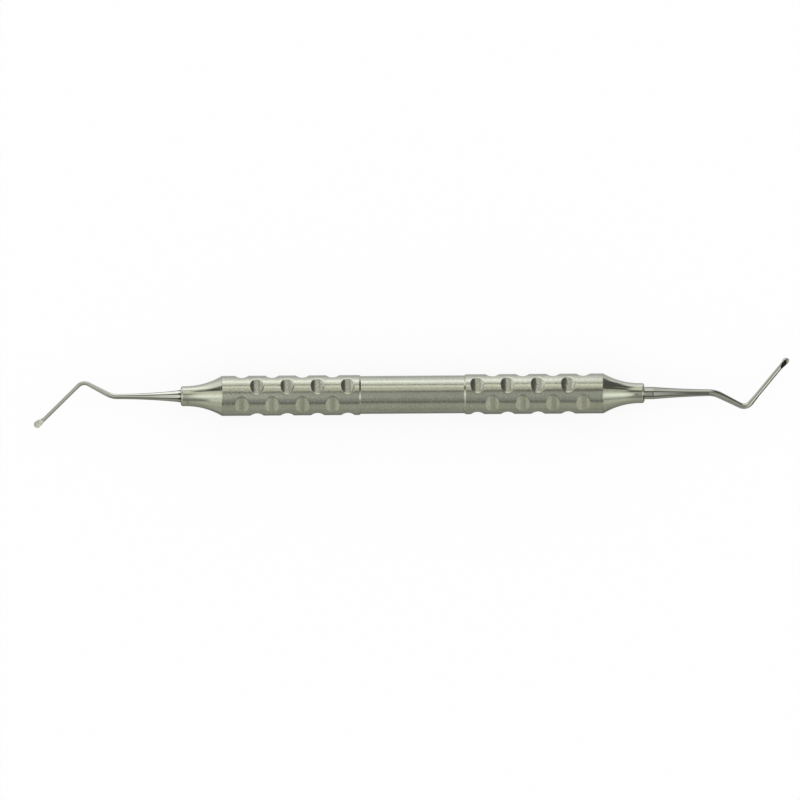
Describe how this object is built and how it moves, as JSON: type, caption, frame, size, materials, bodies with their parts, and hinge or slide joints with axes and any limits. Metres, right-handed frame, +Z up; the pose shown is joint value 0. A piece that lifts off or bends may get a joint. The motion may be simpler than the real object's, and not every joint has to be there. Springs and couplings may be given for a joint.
{
  "type": "dental spoon excavator",
  "caption": "Slim double-ended hand instrument with a dimpled round handle, cone-shaped collars and thin bent shanks ending in small scooping spoons.",
  "frame": {"origin": "on the table, under the middle of the handle", "axes": "+X along the handle to the end whose spoon is tipped to the side, +Y across the handle on the table, +Z up"},
  "size_m": [0.1773, 0.0154, 0.0094],
  "materials": {
    "brushed_handle": "fine turning marks around the handle, satin",
    "satin_cone": "smooth satin, finer than the handle",
    "polished_shank": "ground and polished, with fine lengthwise grinding marks"
  },
  "bodies": {
    "root": {"handle_tube": "brushed_handle", "left_nose_cone": "satin_cone", "right_nose_cone": "satin_cone", "left_spoon_shank": "polished_shank", "right_spoon_shank": "polished_shank"}
  },
  "joints": []
}
